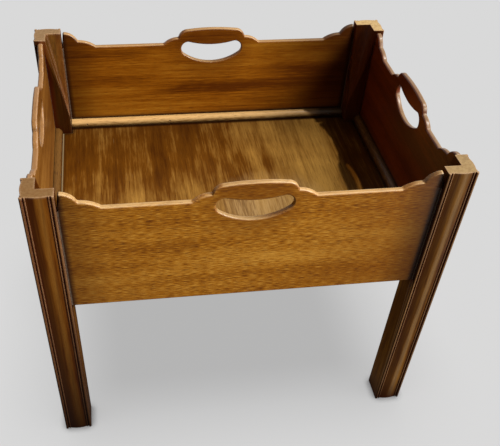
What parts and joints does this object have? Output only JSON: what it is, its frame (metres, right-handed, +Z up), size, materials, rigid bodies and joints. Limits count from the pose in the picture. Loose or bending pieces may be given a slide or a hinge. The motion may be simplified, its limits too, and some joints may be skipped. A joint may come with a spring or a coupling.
{
  "type": "tray table",
  "caption": "Low wooden table whose top is a deep open tray: moulded square legs form its corners and shaped sides with raised handles and kidney-shaped hand holes stand between them.",
  "frame": {"origin": "on the floor, in the middle between the four legs", "axes": "+X to the right along the long side, +Y from the front to the back, +Z up"},
  "size_m": [0.64, 0.492, 0.537],
  "materials": {
    "leg_wood": "polished dark red-brown mahogany",
    "side_wood": "polished golden-brown mahogany",
    "floor_wood": "worn satin brown mahogany",
    "moulding_wood": "worn satin light-brown mahogany",
    "bearer_wood": "bare softwood, aged",
    "screw_steel": "dull aged steel"
  },
  "bodies": {
    "root": {"leg_front_left": "leg_wood", "leg_front_right": "leg_wood", "leg_rear_left": "leg_wood", "leg_rear_right": "leg_wood", "front_panel": "side_wood", "back_panel": "side_wood", "left_panel": "side_wood", "right_panel": "side_wood", "tray_floor": "floor_wood", "front_moulding": "moulding_wood", "back_moulding": "moulding_wood", "left_moulding": "moulding_wood", "right_moulding": "moulding_wood", "front_cleat": "bearer_wood", "back_cleat": "bearer_wood", "left_cleat": "bearer_wood", "right_cleat": "bearer_wood", "cleat_screws": "screw_steel", "floor_screws": "screw_steel", "moulding_pins": "screw_steel"}
  },
  "joints": []
}
